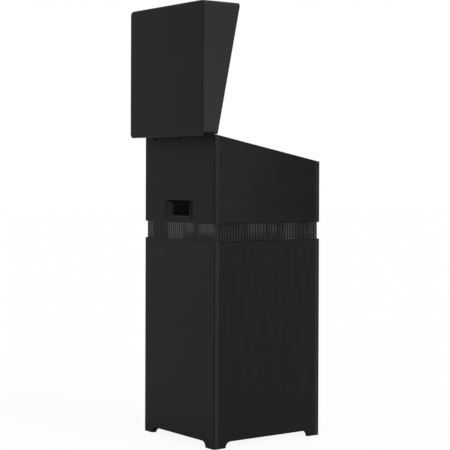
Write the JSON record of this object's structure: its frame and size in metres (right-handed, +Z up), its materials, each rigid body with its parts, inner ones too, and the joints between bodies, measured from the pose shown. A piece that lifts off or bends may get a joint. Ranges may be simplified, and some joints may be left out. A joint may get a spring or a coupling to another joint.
{
  "type": "column pa console",
  "caption": "Upright loudspeaker console: grilled bass cabinet on bracket feet, slatted vent band, sloping mixer deck with cable port, and a hinged wedge lid.",
  "frame": {"origin": "on the floor, under the middle of the whole box with the lid standing open", "axes": "+Z up; -Y is the front, where the grille is; +Y is the back, where the lid is hinged; X across"},
  "size_m": [0.477, 0.5466, 1.589],
  "materials": {
    "satin_face": "satin black lacquer on board",
    "grained_side": "black-stained veneer with faint grain",
    "painted_board": "matt black paint on board",
    "black_steel": "fine-textured black powder coat",
    "zinc_steel": "zinc plate",
    "cone_paper": "doped paper cone and rubber surround",
    "driver_black": "black enamel",
    "moulded_black": "moulded black plastic",
    "circuit_board": "green lacquered circuit board",
    "black_aluminium": "black anodised",
    "copper_winding": "taped winding",
    "magnet": "bare ferrite",
    "lid_black": "satin black lacquer on moulded board",
    "foam": "open-cell foam",
    "knob_grey": "moulded knob with pale pointer",
    "button_red": "moulded cap",
    "fader_grey": "moulded cap with pale line"
  },
  "bodies": {
    "cabinet": {"bass_left_side": "grained_side", "bass_right_side": "grained_side", "bass_back_board": "satin_face", "bass_front_frame": "satin_face", "bass_bottom_board": "painted_board", "bass_top_board": "painted_board", "driver_baffle": "painted_board", "front_grille": "black_steel", "woofer_basket": "black_steel", "woofer_motor": "zinc_steel", "woofer_cone": "cone_paper", "column_driver_1": "driver_black", "column_driver_2": "driver_black", "column_driver_3": "driver_black", "column_driver_4": "driver_black", "port_tubes": "moulded_black", "crossover_board": "circuit_board", "band_spacer": "painted_board", "band_slats_front": "black_steel", "band_slats_back": "black_steel", "band_slats_left": "black_steel", "band_slats_right": "black_steel", "deck_left_side": "grained_side", "deck_right_side": "grained_side", "deck_back_board": "satin_face", "deck_front_board": "satin_face", "deck_bottom_board": "painted_board", "cable_port_frame": "moulded_black", "control_panel": "black_steel", "panel_cleats": "painted_board", "mixer_board": "circuit_board", "input_sockets": "moulded_black", "power_switch_frame": "moulded_black", "amplifier_tray": "zinc_steel", "heat_sink": "black_aluminium", "transformer": "copper_winding", "connector_bracket": "zinc_steel", "mains_inlet": "moulded_black", "deck_hinge_leaf": "black_steel", "hinge_pin": "black_steel", "catch_magnets": "magnet", "stack_bolts": "zinc_steel"},
    "lid": {"lid_shell": "lid_black", "lid_lining": "foam", "lid_hinge_leaf": "black_steel", "catch_plates": "zinc_steel"},
    "gain_knob_1": {"gain_knob_1": "knob_grey"},
    "gain_knob_2": {"gain_knob_2": "knob_grey"},
    "gain_knob_3": {"gain_knob_3": "knob_grey"},
    "tone_knob_1": {"tone_knob_1": "knob_grey"},
    "tone_knob_2": {"tone_knob_2": "knob_grey"},
    "tone_knob_3": {"tone_knob_3": "knob_grey"},
    "mute_button_1": {"mute_button_1": "button_red"},
    "mute_button_2": {"mute_button_2": "button_red"},
    "mute_button_3": {"mute_button_3": "button_red"},
    "level_fader_1": {"level_fader_1": "fader_grey"},
    "level_fader_2": {"level_fader_2": "fader_grey"},
    "level_fader_3": {"level_fader_3": "fader_grey"},
    "master_fader": {"master_fader": "fader_grey"},
    "power_rocker": {"power_rocker": "moulded_black"}
  },
  "joints": [
    {"name": "lid_hinge", "type": "hinge", "parent": "cabinet", "child": "lid", "pos_m": [0, 0.2152, 1.11816], "axis": [1, 0, 0], "range_deg": [0, 90]},
    {"name": "gain_turn_1", "type": "hinge", "parent": "cabinet", "child": "gain_knob_1", "pos_m": [-0.147, 0.08486, 1.03635], "axis": [0, -0.1903, 0.9817], "range_deg": [-150, 150]},
    {"name": "gain_turn_2", "type": "hinge", "parent": "cabinet", "child": "gain_knob_2", "pos_m": [-0.077, 0.08486, 1.03635], "axis": [0, -0.1903, 0.9817], "range_deg": [-150, 150]},
    {"name": "gain_turn_3", "type": "hinge", "parent": "cabinet", "child": "gain_knob_3", "pos_m": [-0.007, 0.08486, 1.03635], "axis": [0, -0.1903, 0.9817], "range_deg": [-150, 150]},
    {"name": "tone_turn_1", "type": "hinge", "parent": "cabinet", "child": "tone_knob_1", "pos_m": [-0.147, 0.03577, 1.02684], "axis": [0, -0.1903, 0.9817], "range_deg": [-150, 150]},
    {"name": "tone_turn_2", "type": "hinge", "parent": "cabinet", "child": "tone_knob_2", "pos_m": [-0.077, 0.03577, 1.02684], "axis": [0, -0.1903, 0.9817], "range_deg": [-150, 150]},
    {"name": "tone_turn_3", "type": "hinge", "parent": "cabinet", "child": "tone_knob_3", "pos_m": [-0.007, 0.03577, 1.02684], "axis": [0, -0.1903, 0.9817], "range_deg": [-150, 150]},
    {"name": "mute_press_1", "type": "slide", "parent": "cabinet", "child": "mute_button_1", "axis": [0, -0.1903, 0.9817], "range_m": [-0.0025, 0], "stiffness_N_per_m": 150, "springref_m": 0.002},
    {"name": "mute_press_2", "type": "slide", "parent": "cabinet", "child": "mute_button_2", "axis": [0, -0.1903, 0.9817], "range_m": [-0.0025, 0], "stiffness_N_per_m": 150, "springref_m": 0.002},
    {"name": "mute_press_3", "type": "slide", "parent": "cabinet", "child": "mute_button_3", "axis": [0, -0.1903, 0.9817], "range_m": [-0.0025, 0], "stiffness_N_per_m": 150, "springref_m": 0.002},
    {"name": "level_slide_1", "type": "slide", "parent": "cabinet", "child": "level_fader_1", "axis": [0, 0.9817, 0.1903], "range_m": [-0.03, 0.03]},
    {"name": "level_slide_2", "type": "slide", "parent": "cabinet", "child": "level_fader_2", "axis": [0, 0.9817, 0.1903], "range_m": [-0.03, 0.03]},
    {"name": "level_slide_3", "type": "slide", "parent": "cabinet", "child": "level_fader_3", "axis": [0, 0.9817, 0.1903], "range_m": [-0.03, 0.03]},
    {"name": "master_slide", "type": "slide", "parent": "cabinet", "child": "master_fader", "axis": [0, 0.9817, 0.1903], "range_m": [-0.03, 0.03]},
    {"name": "power_rock", "type": "hinge", "parent": "cabinet", "child": "power_rocker", "pos_m": [0.145, 0.11761, 1.03557], "axis": [1, 0, 0], "range_deg": [-18, 0]}
  ]
}
